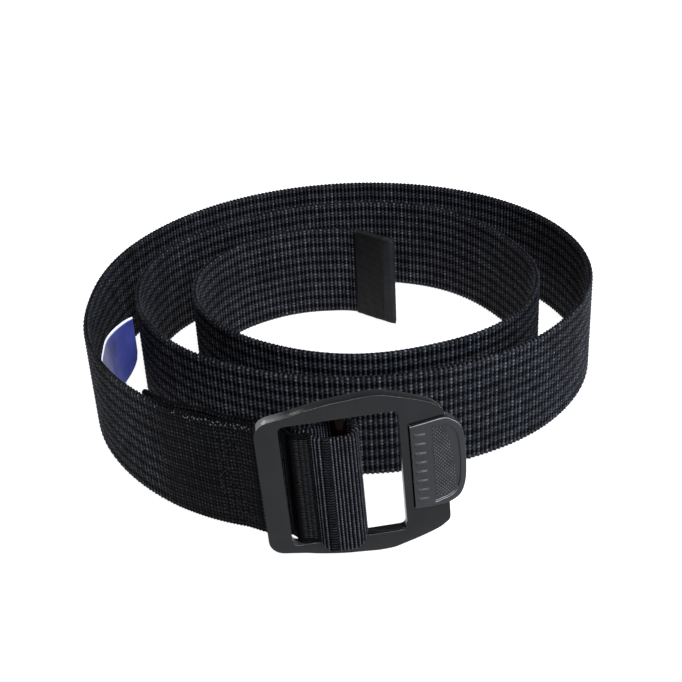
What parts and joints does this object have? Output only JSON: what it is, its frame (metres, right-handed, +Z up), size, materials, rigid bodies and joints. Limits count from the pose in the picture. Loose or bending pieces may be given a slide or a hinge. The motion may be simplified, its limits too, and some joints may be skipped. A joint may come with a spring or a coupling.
{
  "type": "webbing weight belt",
  "caption": "Flat webbing belt for carrying dive weights, coiled on its edge, with a friction frame buckle on a sewn loop, a sleeved free end and a sewn-in care label.",
  "frame": {"origin": "on the floor under the middle of the coiled belt's bounding box", "axes": "+Z up, across the webbing's width; -Y toward the buckle at the front; +X toward the buckle's thumb plate end"},
  "size_m": [0.1868, 0.2154, 0.0538],
  "materials": {
    "webbing": "ribbed nylon webbing, matt",
    "buckle": "satin black coating",
    "pin": "gloss black coating",
    "thumb": "satin black, knurled",
    "tip": "dense woven tape, slightly shiny",
    "thread_dark": "sewing thread",
    "label": "satin ribbon",
    "thread_light": "sewing thread"
  },
  "bodies": {
    "belt": {"webbing_strap": "webbing", "strap_tip": "tip", "loop_stitching": "thread_dark", "care_label": "label", "label_stitching": "thread_light"},
    "buckle": {"buckle_frame": "buckle", "centre_pin": "pin", "thumb_plate": "thumb"}
  },
  "joints": [
    {"name": "buckle_pivot", "type": "hinge", "parent": "belt", "child": "buckle", "pos_m": [-0.00265, -0.09897, 0.02653], "axis": [-0.0455, 0.034, 0.9984], "range_deg": [-1, 60]}
  ]
}
